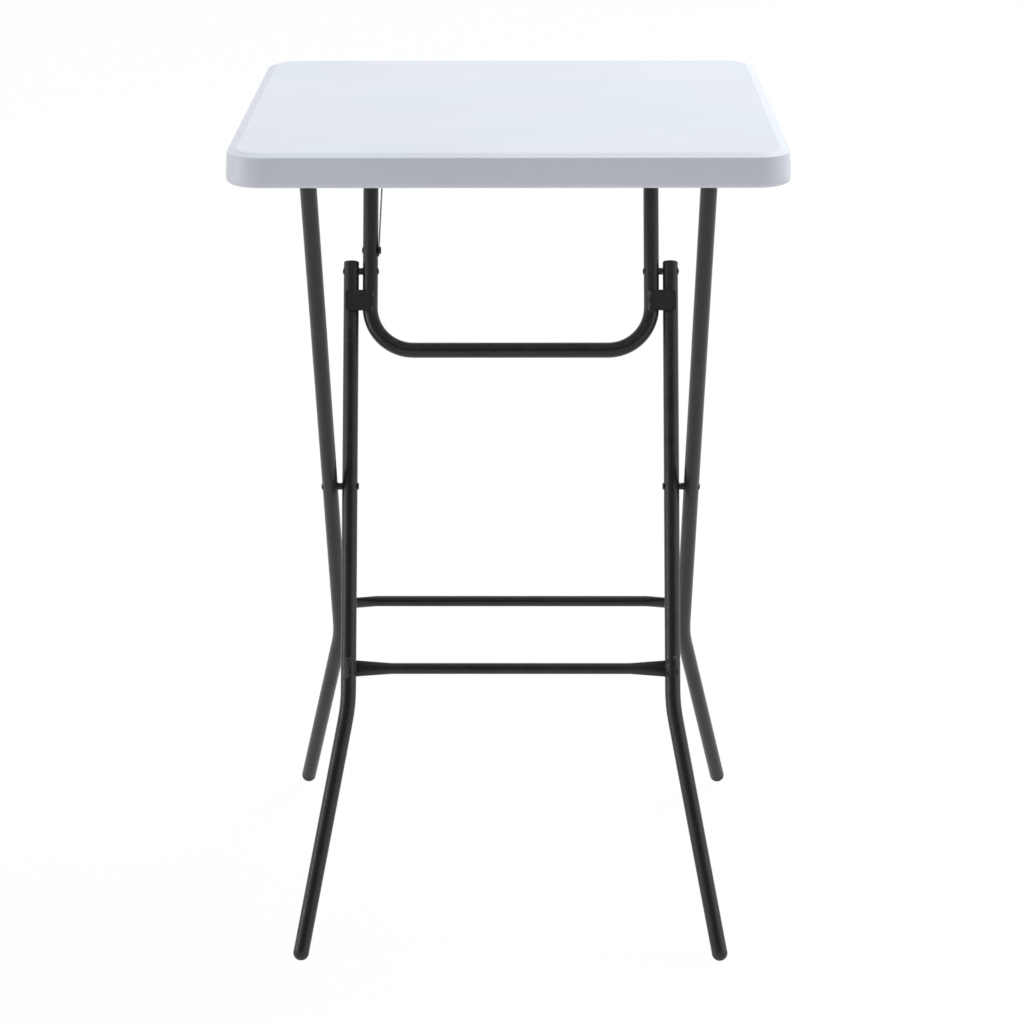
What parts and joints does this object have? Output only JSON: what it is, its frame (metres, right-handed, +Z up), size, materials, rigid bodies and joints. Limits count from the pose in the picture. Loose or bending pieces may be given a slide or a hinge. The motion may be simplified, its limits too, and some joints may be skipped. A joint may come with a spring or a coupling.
{
  "type": "folding bar table",
  "caption": "Square moulded plastic top on crossed steel tube frames that fold flat; a hinged tube loop and a slotted stay hold the bar-height table open.",
  "frame": {"origin": "on the floor, under the middle of the top", "axes": "+Z up from the floor, +X to the right and +Y to the back as seen from the side of the front feet"},
  "size_m": [0.689, 0.689, 1.1],
  "materials": {
    "moulded_top": "fine pebble grain, off-white",
    "black_coat": "satin black powder coat",
    "black_plastic": "moulded, satin black",
    "dark_rivet": "black coated steel",
    "steel_strip": "black coated strip steel",
    "zinc_screw": "zinc plated"
  },
  "bodies": {
    "outer_frame": {"outer_leg_left": "black_coat", "outer_leg_right": "black_coat", "outer_crossbar": "black_coat", "mid_pivot_rivet_left": "dark_rivet", "mid_pivot_rivet_right": "dark_rivet", "mid_pivot_spacer_left": "black_plastic", "mid_pivot_spacer_right": "black_plastic", "foot_back_left": "black_plastic", "foot_back_right": "black_plastic"},
    "top": {"table_top": "moulded_top", "bracket_screws": "zinc_screw", "hinge_bracket_front_left": "black_coat", "hinge_bracket_front_right": "black_coat", "hinge_bracket_back_left": "black_coat", "hinge_bracket_back_right": "black_coat", "outer_hinge_rivet_left": "dark_rivet", "outer_hinge_rivet_right": "dark_rivet", "loop_hinge_rivet_left": "dark_rivet", "loop_hinge_rivet_right": "dark_rivet", "stay_anchor": "black_coat", "stay_stud": "dark_rivet"},
    "inner_frame": {"inner_leg_left": "black_coat", "inner_leg_right": "black_coat", "inner_crossbar": "black_coat", "inner_leg_cap_left": "black_plastic", "inner_leg_cap_right": "black_plastic", "loop_pivot_rivet_left": "dark_rivet", "loop_pivot_rivet_right": "dark_rivet", "foot_front_left": "black_plastic", "foot_front_right": "black_plastic"},
    "loop": {"support_loop": "black_coat", "stop_plate_left": "black_coat", "stop_plate_right": "black_coat", "loop_pivot_spacer_left": "black_plastic", "loop_pivot_spacer_right": "black_plastic", "loop_pivot_end_left": "dark_rivet", "loop_pivot_end_right": "dark_rivet", "stay_bolt": "dark_rivet"},
    "stay": {"lock_stay": "steel_strip"}
  },
  "joints": [
    {"name": "top_fold", "type": "hinge", "parent": "outer_frame", "child": "top", "pos_m": [0, -0.2884, 1.0636], "axis": [-1, 0, 0], "range_deg": [0, 59.38]},
    {"name": "inner_fold", "type": "hinge", "parent": "outer_frame", "child": "inner_frame", "pos_m": [0, -0.02238, 0.57779], "axis": [1, 0, 0], "range_deg": [0, 53.09]},
    {"name": "loop_fold", "type": "hinge", "parent": "top", "child": "loop", "pos_m": [0, 0.206, 1.0636], "axis": [-1, 0, 0], "range_deg": [0, 63.87]},
    {"name": "stay_swing", "type": "hinge", "parent": "loop", "child": "stay", "pos_m": [-0.1819, 0.11701, 0.8743], "axis": [1, 0, 0], "range_deg": [0, 7.25]}
  ],
  "couplings": [
    {"joint": "inner_fold", "follows": "top_fold", "ratio": 0.89321},
    {"joint": "loop_fold", "follows": "top_fold", "ratio": 1.0748},
    {"joint": "stay_swing", "follows": "top_fold", "ratio": 0.12133}
  ]
}
